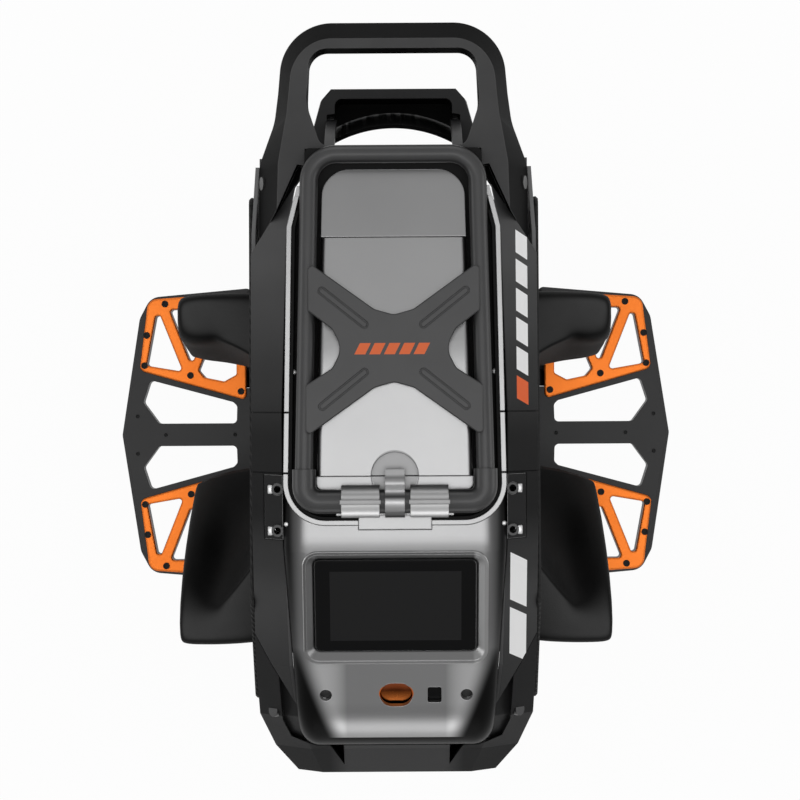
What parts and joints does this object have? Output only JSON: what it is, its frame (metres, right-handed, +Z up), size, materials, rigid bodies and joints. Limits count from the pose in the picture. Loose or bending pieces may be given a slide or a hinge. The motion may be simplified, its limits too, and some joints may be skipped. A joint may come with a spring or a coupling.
{
  "type": "electric unicycle",
  "caption": "Self-balancing electric unicycle with sprung hub-motor wheel, folding truss pedals, padded black body, tilted display and a folding trolley handle in its deck.",
  "frame": {"origin": "point where the tyre meets the ground, on the wheel's middle plane under the axle", "axes": "+Z up, -Y towards the front (display, bumper and headlight), +X to the rider's right as the picture shows it"},
  "size_m": [0.4888, 0.5722, 0.6765],
  "materials": {
    "tyre": "moulded rubber",
    "alloy_black": "black anodised, satin",
    "steel": "turned",
    "core_steel": "laminated",
    "copper": "enamelled copper",
    "seal_rubber": "smooth",
    "body_black": "satin",
    "foam": "fine grain",
    "silver": "satin silver",
    "deck_grey": "satin grey",
    "tube_grey": "satin dark grey",
    "orange": "orange anodised",
    "glass_black": "gloss",
    "plug_black": "matt",
    "lamp": "clear moulded",
    "red_lens": "red moulded",
    "pack_blue": "shrink film",
    "board_green": "lacquered board",
    "sink_alloy": "plain"
  },
  "bodies": {
    "chassis": {"main_frame": "alloy_black", "pedal_hangers": "alloy_black", "pedal_pins": "steel", "fork_tubes": "alloy_black", "fork_seals": "seal_rubber", "side_panel_left": "body_black", "side_panel_right": "body_black", "accessory_plates": "body_black", "accessory_inserts": "steel", "side_pads": "foam", "front_leg_pads": "foam", "rear_leg_pads": "foam", "display_bezel": "silver", "display_glass": "glass_black", "display_module": "plug_black", "sensor_window": "glass_black", "dash_plugs": "plug_black", "handle_tray": "body_black", "trim_strips": "silver", "dash_cover": "silver", "deck_cover": "deck_grey", "deck_lid": "deck_grey", "hinge_base": "silver", "hinge_clamps": "silver", "carry_handle": "body_black", "body_bolts": "steel", "tail_bracket": "body_black", "tail_light": "red_lens", "mud_flap": "seal_rubber", "front_bumper": "body_black", "headlight_lens": "lamp", "vent_grille": "body_black", "battery_packs": "pack_blue", "heat_sink": "sink_alloy", "control_board": "board_green", "rear_cover": "body_black"},
    "axle_carriage": {"axle": "steel", "stator": "core_steel", "stator_windings": "copper", "axle_yokes": "alloy_black", "stanchions": "steel", "axle_nuts": "steel"},
    "wheel": {"tyre": "tyre", "rim": "alloy_black", "magnet_ring": "core_steel", "valve_stem": "steel", "motor_covers": "alloy_black", "cover_bolts": "steel", "axle_bearings": "steel"},
    "right_pedal": {"pedal_right": "alloy_black", "grip_plates_right": "orange", "pedal_screws_right": "steel"},
    "left_pedal": {"pedal_left": "alloy_black", "grip_plates_left": "orange", "pedal_screws_left": "steel"},
    "trolley_handle": {"trolley_bar": "tube_grey", "trolley_loop": "tube_grey", "trolley_brace": "tube_grey"},
    "latch": {"latch_lever": "silver"},
    "button": {"power_button": "orange"}
  },
  "joints": [
    {"name": "suspension", "type": "slide", "parent": "chassis", "child": "axle_carriage", "axis": [0, 0, 1], "range_m": [0, 0.09], "stiffness_N_per_m": 9000, "springref_m": -0.06},
    {"name": "wheel_spin", "type": "hinge", "parent": "axle_carriage", "child": "wheel", "pos_m": [0, 0, 0.25], "axis": [1, 0, 0], "continuous": true},
    {"name": "right_pedal_fold", "type": "hinge", "parent": "chassis", "child": "right_pedal", "pos_m": [0.122, 0, 0.176], "axis": [0, -1, 0], "range_deg": [0, 85]},
    {"name": "left_pedal_fold", "type": "hinge", "parent": "chassis", "child": "left_pedal", "pos_m": [-0.122, 0, 0.176], "axis": [0, 1, 0], "range_deg": [0, 85]},
    {"name": "trolley_fold", "type": "hinge", "parent": "chassis", "child": "trolley_handle", "pos_m": [0, -0.042, 0.664], "axis": [1, 0, 0], "range_deg": [0, 95]},
    {"name": "latch_lift", "type": "hinge", "parent": "chassis", "child": "latch", "pos_m": [0, -0.042, 0.664], "axis": [1, 0, 0], "range_deg": [0, 30], "stiffness_Nm_per_rad": 0.2, "springref_deg": -17.19},
    {"name": "button_press", "type": "slide", "parent": "chassis", "child": "button", "axis": [0, 0.5299, -0.848], "range_m": [0, 0.0015], "stiffness_N_per_m": 600, "springref_m": -0.001}
  ]
}
